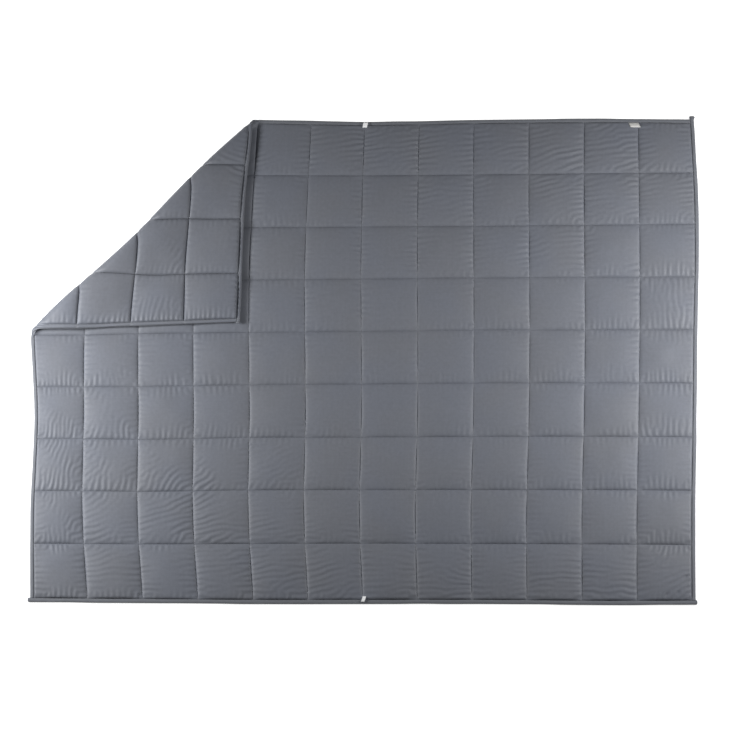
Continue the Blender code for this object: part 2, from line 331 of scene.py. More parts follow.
# %% Let the sheet settle
def unlike_neighbours(height):
    """The sum of the four neighbours less four times the height, and 0 on the border."""
    sums = np.zeros_like(height)
    sums[1:-1, 1:-1] = height[2:, 1:-1] + height[:-2, 1:-1] + height[1:-1, 2:] + height[1:-1, :-2]
    sums[1:-1, 1:-1] -= 4 * height[1:-1, 1:-1]
    return sums


def settle(extra_u, extra_v, shear, seed, steps):
    """Springs of length |(1 + extra) * step, sheared| push their ends apart, step by step, against
    bending (the unlike neighbours of the unlike neighbours) and the padding (the height itself).
    Returns how far each point has moved along u, v and up. Points on seams stay put."""
    count_u, count_v = extra_u.shape
    u, v = np.meshgrid(np.arange(count_u) * CELL, np.arange(count_v) * CELL, indexing="ij")
    free = (np.arange(count_u) % CELLS > 0)[:, None] & (np.arange(count_v) % CELLS > 0)[None]
    rough = np.random.default_rng(seed).normal(0.0, START_ROUGHNESS, u.shape)
    for _ in range(2):
        rough = rough + unlike_neighbours(rough) / 5
    flat = np.stack([u, v, 0 * u]).astype(np.float32)
    place = flat.copy()
    place[2] = rough * free
    free = free.astype(np.float32)
    fields = np.stack([extra_u, extra_v, shear])
    springs = []
    for along, across, strength, a, b in SPRINGS:
        more_u, more_v, lean = (fields[a] + fields[b]) / 2
        run_u = along * CELL * (1 + more_u) + lean * across * CELL
        run_v = across * CELL * (1 + more_v)
        length = np.hypot(run_u, run_v).astype(np.float32)
        springs.append((a, b, length, np.float32(strength * STRETCH)))
    speed = np.zeros_like(place)
    for _ in range(steps):
        push = np.zeros_like(place)
        for a, b, length, share in springs:
            span = place[b] - place[a]
            span *= share * (1 - length / np.sqrt((span * span).sum(axis=0)))
            push[a] += span
            push[b] -= span
        bent = unlike_neighbours(unlike_neighbours(place[2]))
        push[2] -= np.float32(BENDING) * bent + np.float32(PADDING) * place[2]
        speed = (KEPT_SPEED * speed + push) * free
        place += speed
    return np.moveaxis(place - flat, 0, -1).astype(np.float64)


# %% [markdown]
# ## Where the face is gathered
#
# There are two kinds of extra cloth. Stitching gathers it along a seam, and the puckers stand square
# to the seam and die out over the padding: that is the first table. A tug at a corner or an edge draws
# ridges along its own direction, right across a pocket: that is the second. Both give soft patches,
# with their middle and reach in pockets from the lower left corner.

# %% The gathers of the upper face
EVERYWHERE = 0.0055
BY_ROW_SEAMS = 0.018
BY_COLUMN_SEAMS = 0.021
FACE_SEAMS = (
    # column, row, reach along, reach across, extra by row seams, extra by column seams (thousandths)
    (1.5, 3.2, 2.6, 2.2, 16, 6), (11.6, 3.6, 0.7, 2.8, 26, 4), (8.5, 3.5, 3, 2.4, 6, 0),
    (4, 0.6, 3.8, 0.6, 0, 24), (8.5, 0.5, 3.2, 0.5, 0, 10), (4.6, 1.5, 1.4, 0.5, 0, 12),
    (8, 8.5, 3.5, 0.8, 0, 6), (0.8, 0.6, 1.4, 0.7, 8, 12), (11.5, 1.2, 0.7, 1.4, 18, 14),
)
FACE_TUGS = (
    # column, row, reach along, reach across, extra (thousandths), direction of its ridges (degrees)
    (0.5, 2.5, 0.6, 0.6, 6, 65), (1.5, 2.4, 0.6, 0.6, 4, 62), (0.5, 3.4, 0.5, 0.5, 6, 60),
    (1.3, 3.6, 0.4, 0.4, 6, 50), (0.5, 1.6, 0.4, 0.5, 12, 70), (1.3, 1.5, 0.4, 0.5, 14, 40),
    (2.75, 2.2, 0.45, 0.45, 13, 36), (2.2, 2.3, 0.4, 0.4, 8, 60), (2.8, 1.45, 0.5, 0.4, 26, 27),
    (3.3, 1.8, 0.4, 0.25, 22, 32), (3.2, 2.3, 0.3, 0.4, 12, 48), (3.3, 1.2, 0.4, 0.4, 25, 15),
    (4.3, 1.4, 0.45, 0.5, 18, 15), (5.3, 1.5, 0.4, 0.5, 9, 10), (4.4, 2.6, 0.4, 0.4, 17, 30),
    (1.3, 0.6, 0.5, 0.4, 21, 10), (2.3, 0.6, 0.4, 0.4, 21, 12), (3.4, 0.6, 0.5, 0.4, 17, 12),
    (4.4, 0.5, 0.6, 0.4, 13, 15), (5.4, 0.4, 0.5, 0.3, 18, 25), (7.6, 0.22, 1.2, 0.22, 17, -3),
    (9.6, 0.4, 1.1, 0.3, 14, 0), (10.7, 0.3, 0.6, 0.25, 13, -4), (11.65, 0.35, 0.4, 0.4, 34, 35),
    (5.6, 8.6, 1, 0.35, 16, 20), (7.5, 8.5, 1.2, 0.4, 16, 20), (9.5, 8.35, 0.8, 0.4, 26, 22),
    (10.5, 8.3, 0.5, 0.35, 24, 22), (11.5, 8.4, 0.4, 0.4, 24, 30), (3.9, 8.6, 0.25, 0.4, 80, 40),
    (9.3, 7.5, 1.4, 0.45, 14, 20), (7.6, 7.5, 0.9, 0.4, 6, 15), (11.5, 7.6, 0.5, 0.6, 6, 30),
    (9.3, 6.5, 1, 0.4, 12, 18), (7.5, 6.5, 1, 0.5, 8, 5), (11.6, 5.4, 0.4, 1, 10, 98),
)
FADE = 0.18  # in pockets: the gathering fades this far from the seam that makes it
CORNER_FADE = 0.10  # and sooner on the corner's back, which is stretched
ABOVE_SEAM = 1.6  # and it fades this much sooner under a row seam than above it
TAUT = 0.5  # the tug that makes ridges also stretches the cloth along them
DRAWN_IN = 0.3  # and the cloth is a little short across a gathered seam
PATCH_SIZE = 0.06  # metres: the size of the uneven patches in all of this
SEAM_PATCH_SIZE = 0.03
UNEVEN = 0.5
print(len(FACE_SEAMS), "patches of gathered seams and", len(FACE_TUGS), "tugs")

# %% Turn the tables into extra cloth
def soft_patch(column, row, patch):
    """exp(-(du / reach)² - (dv / reach)²), in pockets."""
    middle_u, middle_v, reach_u, reach_v = patch
    return np.exp(-(((column - middle_u) / reach_u) ** 2) - ((row - middle_v) / reach_v) ** 2)


def gather_fields(columns, rows, seams, tugs, fade, seed):
    """Ridges in the direction (cos t, sin t) come from extra cloth along (-sin t, cos t), which is
    sin² t of it along u, cos² t along v and a shear of -2 sin t cos t. Near seams the extra is along
    the seam, and dies away as exp(-distance / fade)."""
    column, row = np.meshgrid(
        np.arange(columns * CELLS + 1) / CELLS, np.arange(rows * CELLS + 1) / CELLS, indexing="ij"
    )
    u, v = column * POCKET, row * POCKET
    uneven = 1 + UNEVEN * unevenness(u, v, PATCH_SIZE, seed)
    extra_u = EVERYWHERE * uneven
    extra_v, shear = extra_u.copy(), 0 * extra_u
    for *patch, extra, degrees in tugs:
        pull = extra / 1000 * soft_patch(column, row, patch) * uneven
        sine, cosine = math.sin(math.radians(degrees)), math.cos(math.radians(degrees))
        extra_u += pull * (sine**2 - TAUT * cosine**2)
        extra_v += pull * (cosine**2 - TAUT * sine**2)
        shear -= 2 * (1 + TAUT) * pull * sine * cosine
    in_column, in_row = column % 1, row % 1
    kinds = (
        (BY_ROW_SEAMS, np.minimum(in_row, ABOVE_SEAM * (1 - in_row))),
        (BY_COLUMN_SEAMS, np.minimum(in_column, 1 - in_column)),
    )
    gathered = []
    for kind, (least, from_seam) in enumerate(kinds):
        more = sum(seam[4 + kind] / 1000 * soft_patch(column, row, seam[:4]) for seam in seams)
        patchy = 1 + UNEVEN * unevenness(u, v, SEAM_PATCH_SIZE, seed + 1 + kind)
        gathered.append((least + more) * (np.exp(-from_seam / fade) * patchy))
    by_rows, by_columns = gathered
    return extra_u + by_rows - DRAWN_IN * by_columns, extra_v + by_columns - DRAWN_IN * by_rows, shear


# %% Settle the face
steps = SETTLE_STEPS
face = settle(*gather_fields(COLUMNS, ROWS, FACE_SEAMS, FACE_TUGS, FADE, 41), 5, steps)
print(f"face settled: ridges up to {face[..., 2].max() / MM:.1f} mm high")

# %% [markdown]
# ## The back of the folded corner
#
# Folding turns the back of sixteen pockets to the light. It has puckers of its own, deepest along the
# binding. Seen from above it is mirrored, so a ridge in the direction t lies there at 90 - t degrees.

# %% The gathers of the folded corner's back
CORNER_COLUMNS = 4
CORNER_ROWS = 4
CORNER_FIRST_ROW = ROWS - CORNER_ROWS
CORNER_SEAMS = (
    # the same columns of numbers, with rows counted from the corner block's lowest
    (0, 2.6, 0.25, 1.8, 0, 90),
    (2, 4, 2, 0.3, 40, 0),
)
CORNER_TUGS = (
    (2.9, 3.7, 0.5, 0.35, 20, 110), (1.4, 2.6, 0.5, 0.5, 14, 45), (0.6, 1.5, 0.5, 0.5, 16, 60),
    (0.4, 2.6, 0.3, 0.5, 10, 20),
)
corner_fields = gather_fields(CORNER_COLUMNS, CORNER_ROWS, CORNER_SEAMS, CORNER_TUGS, CORNER_FADE, 43)
corner = settle(*corner_fields, 6, steps)
# The rest of the back lies pressed on the surface. It borrows the face's puckers, mirrored.
back = face[::-1] * np.array([-1.0, 1.0, 1.0])
corner_back = np.zeros_like(face)
corner_block = slice(0, CORNER_COLUMNS * CELLS + 1), slice(CORNER_FIRST_ROW * CELLS, None)
corner_back[corner_block] = corner
back[corner_block][..., :2] = corner[..., :2]
print(f"corner settled: ridges up to {corner[..., 2].max() / MM:.1f} mm high")

# %% [markdown]
# ## The quilt, as five closed pads
#
# Each pad is one closed surface: the fine side that shows, a coarse side with every second line of it,
# Five pads that meet along seams keep each mesh light enough to pass on whole.
# # and a thin rim between them. Two extra lines of points lie beside every seam, because there the cloth
# # dives to the stitching within two millimetres. Five pads that meet along seams keep each mesh small.

# %% Lines of points along and across the cloth
BESIDE_SEAM = (0.14, 0.42)  # in cells: 0.6 and 1.8 mm from the seam
EDGE_IN_TAPE = (10.7 * MM, 5 * MM)  # the cut edge, and a line between it and the stitching
FINE_PER_POCKET = CELLS + 2 * len(BESIDE_SEAM)


def grid_lines(pockets, half):
    """Where the lines are, in metres from the middle of the cloth."""
    beside = np.array(BESIDE_SEAM)
    in_pocket = np.concatenate([[0], beside, np.arange(1, CELLS), CELLS - beside[::-1]])
    starts = np.repeat(np.arange(pockets) * CELLS, FINE_PER_POCKET)
    place = (starts + np.tile(in_pocket, pockets)) * CELL - half
    beyond = np.array(EDGE_IN_TAPE)
    return np.concatenate([-half - beyond, place, [half], half + beyond[::-1]])


PLACE_U = grid_lines(COLUMNS, HALF_U)
PLACE_V = grid_lines(ROWS, HALF_V)
print(len(PLACE_U), "by", len(PLACE_V), "lines")


def read_between(field, u, v):
    """The settled field at lines u and v: the weighted mean of the four points around each place."""
    at_u = np.clip((u + HALF_U) / CELL, 0, COLUMNS * CELLS)
    at_v = np.clip((v + HALF_V) / CELL, 0, ROWS * CELLS)
    i = np.minimum(at_u.astype(int), field.shape[0] - 2)
    j = np.minimum(at_v.astype(int), field.shape[1] - 2)
    s, t = (at_u - i)[:, None, None], (at_v - j)[None, :, None]
    rows = field[i] * (1 - s) + field[i + 1] * s
    return rows[:, j] * (1 - t) + rows[:, j + 1] * t


# %% The filling under each pocket
LUMP_SIZE = 0.06
LUMP = 0.05  # share of the crown by which the beads lie unevenly inside a pocket


def tuck(share):
    """1 - exp(-distance from the nearer seam / 2.5 mm)."""
    return 1 - np.exp(-POCKET * np.minimum(share, 1 - share) / TUCK_REACH)


def dome(share):
    """0 on the seams and 1 in the middle: mostly (1 - |2s - 1|^2.1)^0.7, and some of the tuck,
    which makes the cloth dive at the stitching."""
    share = np.clip(share, 0, 1)
    round_part = (1 - np.abs(2 * share - 1) ** DOME_POWER) ** DOME_FULLNESS
    return (1 - TUCK_SHARE) * round_part + TUCK_SHARE * tuck(share)


def row_of_domes(place, half, edge_start, edge_dive):
    """The number of the pocket, and its dome. An outer pocket's dome starts `edge_start` inside the
    binding and is stretched to end at the same seam, times 1 - exp(-distance / edge_dive)."""
    inside = half - np.abs(place)
    stretched = (inside - edge_start) * POCKET / (POCKET - edge_start)
    from_edge = np.where(inside < POCKET, stretched, inside)
    pocket = np.clip(np.floor((place + half) / POCKET), 0, round(2 * half / POCKET) - 1)
    share = (np.sign(place) * (half - from_edge) + half) / POCKET - pocket
    return pocket, dome(share) * (1 - np.exp(-np.clip(inside, 0, None) / edge_dive))


def filling(u, v, seed):
    """dome(u) * dome(v), times a share that a sine gives each pocket, and soft lumps inside."""
    first_u, dome_u = row_of_domes(u, HALF_U, EDGE_START[0], EDGE_DIVE[0])
    first_v, dome_v = row_of_domes(v, HALF_V, EDGE_START[1], EDGE_DIVE[1])
    u, v = np.meshgrid(u, v, indexing="ij")
    share = 1 + FILL_SPREAD * np.sin(FILL_TURN[0] * first_u[:, None] + FILL_TURN[1] * first_v)
    lumps = 1 + LUMP * unevenness(u, v, LUMP_SIZE, seed)
    return dome_u[:, None] * dome_v * share * lumps


print(f"a quarter across a pocket the dome is {dome(0.25):.2f} of its height")

# %% Short folds at the binding
NIP_WIDE = 3.5 * MM
NIP_LONG = 7 * MM
NIPS = (
    # column, row, depth (mm), direction (degrees): short folds caught in the binding's stitching
    (3.93, 8.66, 6, 45), (3.92, 8.34, 5, 60), (0.15, 0.05, 1.5, 75), (0.26, 0.06, 2.5, 75),
    (0.42, 0.05, 1.5, 80), (1.86, 0.05, 1.5, 75), (1.95, 0.06, 2, 70), (2.90, 0.05, 1.5, 75),
    (11.55, 0.10, 2, 35), (11.75, 0.14, 2.5, 40), (11.90, 0.42, 2.5, 35),
)


def nips(u, v):
    """The sum of depth * exp(-(across / width)² - (along / length)²), each along its own direction."""
    column, row, depth, direction = np.array(NIPS).T[:, :, None, None]
    turn = np.radians(direction)
    du, dv = u - (column * POCKET - HALF_U), v - (row * POCKET - HALF_V)
    along = du * np.cos(turn) + dv * np.sin(turn)
    across = dv * np.cos(turn) - du * np.sin(turn)
    return (depth * MM * np.exp(-((across / NIP_WIDE) ** 2) - (along / NIP_LONG) ** 2)).sum(axis=0)


# %% Both sides of the quilt
CREST_LEVEL = 0.6  # on the bend's outside the cloth is drawn tight, which evens its pockets out
FULL_SAG_AT = 0.35  # the underside is flat on the surface where the dome is higher than this


def cloth_side(lines_u, lines_v, upper):
    """Flat points (u, v, n) of one side. Face: n = seam + dome + ridges. Back: n = -(seam + sag), or
    where the corner is folded, -(seam + dome + ridges). `folded` goes from 0 to 1 through the bend."""
    at = PLACE_U[lines_u], PLACE_V[lines_v]
    moved = read_between(face if upper else back, *at)
    u = at[0][:, None] + moved[..., 0]
    v = at[1][None, :] + moved[..., 1]
    folded = smoothstep(past_bend_start(u, v) / FOLD_TURN)
    full = filling(*at, 31 if upper else 32)
    full += 4 * folded * (1 - folded) * (CREST_LEVEL - full)
    if upper:
        rise = CROWN * full + moved[..., 2]
        rise -= np.minimum(nips(at[0][:, None], at[1][None, :]), np.clip(rise, 0.0, None))
        n = SEAM_HALF + rise * (1 - folded * (1 - FOLD_CROWN_IN / CROWN))
    else:
        pressed = SAG * smoothstep(full / FULL_SAG_AT)
        deeper = tuck((at[0] + HALF_U) / POCKET % 1)[:, None] * tuck((at[1] + HALF_V) / POCKET % 1)
        raised = FOLD_CROWN_OUT * full + FOLD_TUCK * deeper + read_between(corner_back, *at)[..., 2]
        n = -(SEAM_HALF + (1 - folded) * pressed + folded * raised)
    return np.stack([u, v, n], axis=-1)


# %% Turn arrays into a mesh
show = bpy.context.scene.collection.objects.link  # puts an object into the scene


def new_piece(name, flat, faces, rim=None, cloth=None):
    """An object of these flat points, laid down, and arrays of faces, smooth but for `rim`, whose
    normals would darken the cloth beside it. Each point keeps its place on the cloth."""
    flat_faces = [] if rim is None else rim.tolist()
    smooth_faces = [face for group in faces for face in group.tolist()]
    mesh = bpy.data.meshes.new(name)
    mesh.from_pydata(lay_down(flat), [], smooth_faces + flat_faces)
    smooth = [True] * len(smooth_faces) + [False] * len(flat_faces)
    mesh.polygons.foreach_set("use_smooth", smooth)
    kept = mesh.attributes.new("cloth", "FLOAT_VECTOR", "POINT")
    places = flat if cloth is None else cloth
    kept.data.foreach_set("vector", np.ascontiguousarray(places, np.float32).ravel())
    piece = bpy.data.objects.new(name, mesh)
    show(piece)
    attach(piece, "root")
    print(f"{name}: {len(flat)} points, {len(mesh.loops) - 2 * len(mesh.polygons)} triangles")
    return piece


# %% The faces of a pad
def grid_faces(shape, first):
    """The quads of a grid whose points are numbered row by row from `first`, facing up, and the
    numbers round its border, anticlockwise seen from above."""
    ids = first + np.arange(math.prod(shape)).reshape(shape)
    quads = np.stack([ids[:-1, :-1], ids[1:, :-1], ids[1:, 1:], ids[:-1, 1:]], axis=-1)
    border = np.concatenate([ids[:-1, 0], ids[-1, :-1], ids[:0:-1, -1], ids[0, :0:-1]])
    return quads.reshape(-1, 4), border


def rim_faces(fine, coarse, fine_on_top):
    """Three triangles for each coarse edge: two on the fine edges, and one on the coarse edge."""
    c, next_c = coarse, np.roll(coarse, -1)
    f, middle, next_f = fine[::2], fine[1::2], np.roll(fine[::2], -1)
    sets = (c, next_c, middle), (c, middle, f), (next_c, next_f, middle)
    faces = np.concatenate([np.column_stack(three) for three in sets])
    return faces if fine_on_top else faces[:, ::-1]


# %% Build the pads
def lines_between(first, last, seams, places):
    """The numbers of the lines from one seam to another. An outer seam stands for the cut edge."""
    start = 0 if first == 0 else len(EDGE_IN_TAPE) + first * FINE_PER_POCKET
    end = len(places) - 1 if last == seams else len(EDGE_IN_TAPE) + last * FINE_PER_POCKET
    return np.arange(start, end + 1)


def pad(name, columns, rows, face_is_fine):
    """A closed pad between two seams each way, its fine side on top or below."""
    fine = lines_between(*columns, COLUMNS, PLACE_U), lines_between(*rows, ROWS, PLACE_V)
    coarse = fine[0][::2], fine[1][::2]
    top, low = (fine, coarse) if face_is_fine else (coarse, fine)
    sides = cloth_side(*top, True), cloth_side(*low, False)
    top_quads, top_border = grid_faces(sides[0].shape[:2], 0)
    low_quads, low_border = grid_faces(sides[1].shape[:2], sides[0].size // 3)
    borders = (top_border, low_border) if face_is_fine else (low_border, top_border)
    flat = np.concatenate([side.reshape(-1, 3) for side in sides])
    rim = rim_faces(*borders, face_is_fine)
    made = new_piece(name, flat, [top_quads, low_quads[:, ::-1]], rim)
    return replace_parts(made, "quilted_body")


MEETING = (0, CORNER_COLUMNS, 7, 10, COLUMNS)  # the pads meet along these seams
pads = [
    pad("quilt_corner", MEETING[:2], (CORNER_FIRST_ROW, ROWS), False),
    pad("quilt_left", MEETING[:2], (0, CORNER_FIRST_ROW), True),
    pad("quilt_middle", MEETING[1:3], (0, ROWS), True),
    pad("quilt_right", MEETING[2:4], (0, ROWS), True),
    pad("quilt_far_right", MEETING[3:], (0, ROWS), True),
]

# %% [markdown]
# ## The binding
#
# A tape is folded round the raw edges and stitched through along its inner side. It reads as a soft
# round cord, with a low groove at the stitching. So a section of it is carried along each edge, and
# swells and narrows a little between stitches. It is sewn on in four lengths, and at each corner the
# end of one sticks out as a small stub.

# %% The tape's section
TAPE_OUTSIDE = (
    # out from the stitching, height above the middle layer (mm)
    (-0.2, 1.3), (-0.6, 1.5), (-0.3, 1.7), (0.6, 1.5), (1.6, 1.5), (2.1, 2.3), (2.5, 3.3),
    (3.3, 3.75), (5, 3.75), (7.2, 3.7), (9.2, 3.4), (10.7, 2.8), (11.9, 2), (12.8, 1),
    (13.1, 0),
)
TAPE_SLOT = ((11, -1.2), (11, 1.2))  # where its two halves meet inside
TAPE_STEP = 4 * MM
TAPE_GROOVE = 0.9 * MM

upper_tape = np.array(TAPE_OUTSIDE)
lower_tape = upper_tape[-2::-1] * (1, -1)
TAPE_SECTION = np.concatenate([upper_tape, lower_tape, TAPE_SLOT]) * MM
print("the tape's section measures", np.round(np.ptp(TAPE_SECTION, axis=0) / MM, 1), "mm")

# %% Carry the section along an edge
SWELL_SIZE = 0.016  # the tape's small swellings, between one gather and the next
SWELL = 0.10
SWELL_RANGE = (-2.0, 0.5)
WANDER_SIZE = 0.09
WANDER = 0.5 * MM
ROUND_END = 4 * MM
END_PLACES = np.array([0.0, 0.3, 0.9, 1.8, 2.9]) * MM
LEAST_END = 0.03


def folded_sheet(name, node, flat, cloth, turned):
    """Rings of flat points, joined by quads and closed by a face at each end, and laid down. Each point
    keeps its place on the flat cloth."""
    rings, around = flat.shape[:2]
    ids = np.arange(rings * around).reshape(rings, around)
    near, far = ids[:-1], ids[1:]
    quads = np.stack([near, np.roll(near, -1, 1), np.roll(far, -1, 1), far], axis=-1).reshape(-1, 4)
    ends = np.stack([ids[0][::-1], ids[-1]])
    if turned:
        quads, ends = quads[:, ::-1], ends[:, ::-1]
    cloth = np.stack(cloth, axis=-1).reshape(-1, 3)
    made = new_piece(name, flat.reshape(-1, 3), [quads], ends, cloth)
    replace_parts(made, node)
    return made


def tape(name, node, start, end, round_ends, to_flat, seed, turned):
    """At each place along an edge, the section's out and height, swollen and drifted a little. A free
    end is rounded: its section shrinks as sqrt(1 - (1 - distance / 4 mm)²)."""
    steps = np.linspace(start + ROUND_END, end - ROUND_END, int((end - start) / TAPE_STEP))
    place = np.concatenate([start + END_PLACES, steps, end - END_PLACES[::-1]])[:, None]
    from_end = np.where(round_ends[0], place - start, ROUND_END)
    from_end = np.minimum(from_end, np.where(round_ends[1], end - place, ROUND_END))
    round_off = np.sqrt(1.0 - (1.0 - np.clip(from_end / ROUND_END, LEAST_END, 1.0)) ** 2)
    shape = len(place), len(TAPE_SECTION)
    out, high = (np.broadcast_to(side, shape) for side in TAPE_SECTION.T)
    skin = (np.arange(len(TAPE_SECTION)) < len(TAPE_SECTION) - 2) * smoothstep(out / TAPE_GROOVE)
    swell = np.clip(unevenness(place, out * 2, SWELL_SIZE, seed), *SWELL_RANGE) - SWELL_RANGE[1]
    drifted = unevenness(place, 0 * place, WANDER_SIZE, seed + 1)
    high = high * (1 + SWELL * skin * swell)
    out = out + WANDER * drifted * smoothstep(out / (BINDING_WIDTH / 2)) - WANDER
    out = BINDING_WIDTH / 2 + (out - BINDING_WIDTH / 2) * round_off
    high = high * round_off
    cloth = np.broadcast_to(place, out.shape), out, high
    return folded_sheet(name, node, to_flat(*cloth), cloth, turned)


# %% The four edges
STUB_TWIST = math.tan(math.radians(8))
STUB_FLARE = 0.5
CAP_GAP = 0.3 * MM


def right_edge(place, out, high):
    """The right edge. Past the blanket's top the stub leans outwards, flares and flattens."""
    past = np.clip((place - EDGE_V) / RIGHT_STUB_END, 0, 1)
    middle = BINDING_WIDTH / 2
    out = middle + (out - middle) * (1 + STUB_FLARE * past) + past * RIGHT_STUB_END * STUB_TWIST
    return np.stack([HALF_U + out, place, high * (1 - STUB_FLARE * past)], axis=-1)


def top_edge(place, out, high):
    return np.stack([place, HALF_V + out, high], axis=-1)


def bottom_edge(place, out, high):
    return np.stack([place, -HALF_V - out, high], axis=-1)


def left_edge(place, out, high):
    return np.stack([-HALF_U - out, place, high], axis=-1)


BOTTOM_ENDS = -EDGE_U - BOTTOM_STUB_START, EDGE_U + BOTTOM_STUB_END
RIGHT_ENDS = -HALF_V + CAP_GAP, EDGE_V + RIGHT_STUB_END
TOP_ENDS = -EDGE_U - TOP_STUB_START, HALF_U - CAP_GAP
LEFT_ENDS = -HALF_V + CAP_GAP, HALF_V - CAP_GAP
BINDINGS = (
    # piece, CAD piece, start, end, which ends are round, edge, seed, whether its faces are turned
    ("tape_bottom", "binding_bottom", *BOTTOM_ENDS, (True, True), bottom_edge, 51, True),
    ("tape_right", "binding_right", *RIGHT_ENDS, (False, True), right_edge, 53, True),
    ("tape_top", "binding_top", *TOP_ENDS, (True, False), top_edge, 55, False),
    ("tape_left", "binding_left", *LEFT_ENDS, (False, False), left_edge, 57, False),
)
bindings = [tape(*row) for row in BINDINGS]

# %% [markdown]
# ## The stitching
#
# Thread shows as short dashes that sink into the cloth. There are thousands, so each is only a long
# diamond of eight faces, and all of one kind are one mesh. They are worked out flat and laid down with
# the cloth, so they follow every drift and the fold.

# %% Rows of stitches
STITCH = 3.2 * MM
STITCH_PITCH = 4.4 * MM
STITCH_WIDE = 1.25 * MM
STITCH_HIGH = 0.6 * MM
PAINTED_SHADE_THREAD_WIDE = 2.4 * MM  # across the back the dark thread is drawn this broad: painted shade in the folded corner's seams
PAINTED_SHADE_THREAD_RISE = 1.3 * MM  # and it is raised this much out of the cloth's groove, so that the painted shade shows
GROOVE_HIGH = 1.75 * MM  # where the thread lies in the groove of the binding
DIAMOND = np.array([(-1, 0, 0), (1, 0, 0), (0, -1, 0), (0, 1, 0), (0, 0, -1), (0, 0, 1)]) / 2
DIAMOND_FACES = np.array(
    [(1, 3, 5), (3, 0, 5), (0, 2, 5), (2, 1, 5), (3, 1, 4), (0, 3, 4), (2, 0, 4), (1, 2, 4)]
)


def stitch_row(start, end, beside, height, along_u, wide=STITCH_WIDE):
    """Diamonds in a row at a steady pitch: middle + diamond * (length, width, height)."""
    count = int((end - start) / STITCH_PITCH)
    middle = start + (np.arange(count) + 0.5) * (end - start) / count
    middles = np.stack(np.broadcast_arrays(middle, beside, height), axis=-1)[:, None]
    row = middles + DIAMOND * (STITCH, wide, STITCH_HIGH)
    return (row if along_u else row[..., [1, 0, 2]]).reshape(-1, 3)


def stitches(name, rows):
    """All the diamonds of one kind of row, as one piece."""
    flat = np.concatenate(rows)
    first = np.arange(0, len(flat), len(DIAMOND))
    faces = (DIAMOND_FACES + first[:, None, None]).reshape(-1, 3)
    return new_piece(name, flat, [faces])


# %% Sew the rows
def quilting(side):
    """Every inner seam across the blanket and along it, on its upper (1) or lower (-1) side."""
    height = side * (SEAM_HALF + STITCH_HIGH / 4)
    # on the back the rows across are broad and raised: dark lines of painted shade in the seam valleys
    wide, across_height = (STITCH_WIDE, height) if side > 0 else (PAINTED_SHADE_THREAD_WIDE, height - PAINTED_SHADE_THREAD_RISE)
    seams_u = np.arange(1, COLUMNS) * POCKET - HALF_U
    seams_v = np.arange(1, ROWS) * POCKET - HALF_V
    across = [stitch_row(-HALF_V, HALF_V, seam, across_height, False, wide) for seam in seams_u]
    return across + [stitch_row(-HALF_U, HALF_U, seam, height, True) for seam in seams_v]


def on_binding():
    """A row in the groove of each tape, on both sides."""
    beside_u, beside_v = HALF_U + TAPE_GROOVE, HALF_V + TAPE_GROOVE
    rows = []
    for side, edge in ((1, 1), (1, -1), (-1, 1), (-1, -1)):
        height = side * GROOVE_HIGH
        rows.append(stitch_row(-HALF_U, HALF_U, edge * beside_v, height, True))
        rows.append(stitch_row(-HALF_V, HALF_V, edge * beside_u, height, False))
    return rows


threads = [
    stitches("quilting_thread_face", quilting(1)),
    stitches("quilting_thread_back", quilting(-1)),
    stitches("binding_thread", on_binding()),
]

# %% [markdown]
# ## Two loops and a label
#
# At the middle of each long edge a white cotton loop, to tie the blanket into a cover, comes out from
# under the binding and has flopped over onto it. The label is a folded piece of satin near the top
# right corner, left blank. All three are ribbons.

# %% Ribbons
RIBBON_STEPS = 64
RIBBON_ACROSS = 12


def ribbon(name, node, path, sizes, to_flat, slot, turned):
    """A smooth curve through a path of (out, height), with the width running across it. Its two sides
    are half a thickness away, `lean` slides the far end along the edge, and `curl` lifts its edges."""
    thick, width, lean, curl, middle = (size * MM for size in sizes)
    corners = np.array(path) * MM
    stations = np.cumsum([0.0, *np.linalg.norm(np.diff(corners, axis=0), axis=1)])
    read = np.linspace(0.0, stations[-1], RIBBON_STEPS)
    line = np.column_stack([smooth_curve(stations, side[:, None], read) for side in corners.T])
    run = np.gradient(line, axis=0)
    run /= np.linalg.norm(run, axis=1)[:, None]
    normal = np.column_stack([-run[:, 1], run[:, 0]])
    across = np.linspace(-0.5, 0.5, RIBBON_ACROSS)
    out_share = (line[:, :1] - line[0, 0]) / np.ptp(line[:, 0])
    around_u = np.concatenate([across, across[::-1]])
    side = np.repeat([0.5, -0.5], RIBBON_ACROSS)
    lift = side * thick + curl * (2 * around_u) ** 2
    place = line[:, None, :] + normal[:, None, :] * lift[:, None]
    u = middle + around_u * width + lean * out_share
    flat = to_flat(u, place[..., 0], place[..., 1])
    length = np.linalg.norm(np.diff(line, axis=0), axis=1).sum()
    along = np.linspace(0, length, RIBBON_STEPS)
    cloth = [np.broadcast_to(part, u.shape) for part in (u, along[:, None], side)]
    return folded_sheet(name, node, flat, cloth, turned)


# %% Two loops and the label
LOOP = (
    # out from the stitching, height (mm): out of the seam, back over the binding, and under itself
    (-0.9, 2.6), (-4.5, 3.9), (-7.9, 6), (-5.6, 8.9), (0, 8.9), (4.6, 8.2), (7.2, 6.9),
    (5, 5.9), (0, 6.9), (-4.4, 6.6), (-4, 5.2), (-0.9, 4.2),
)
LABEL = (
    # out of the seam, over the pocket's rise, folded at its end, and back underneath
    (-0.9, 3), (-4, 6), (-9, 8.9), (-17, 9.9), (-18.3, 9.2), (-17, 8.3), (-9, 7.3),
    (-4, 4.4), (-0.9, 2.2),
)
RIBBONS = (
    # piece, CAD piece, path, then thickness, width, lean, curl and place along the edge (mm), then
    # edge, slot, whether its faces are turned
    ("top_loop", "loop_top", LOOP, (0.9, 13.5, 3, 1.2, 1.5), top_edge, "loop_tape", True),
    ("bottom_loop", "loop_bottom", LOOP, (0.9, 10, -6, 0.3, 3), bottom_edge, "loop_tape", False),
    ("blank_label", "label", LABEL, (0.6, 31, -7, 0.8, 821), top_edge, "label_tape", True),
)
ribbons = [ribbon(*row) for row in RIBBONS]

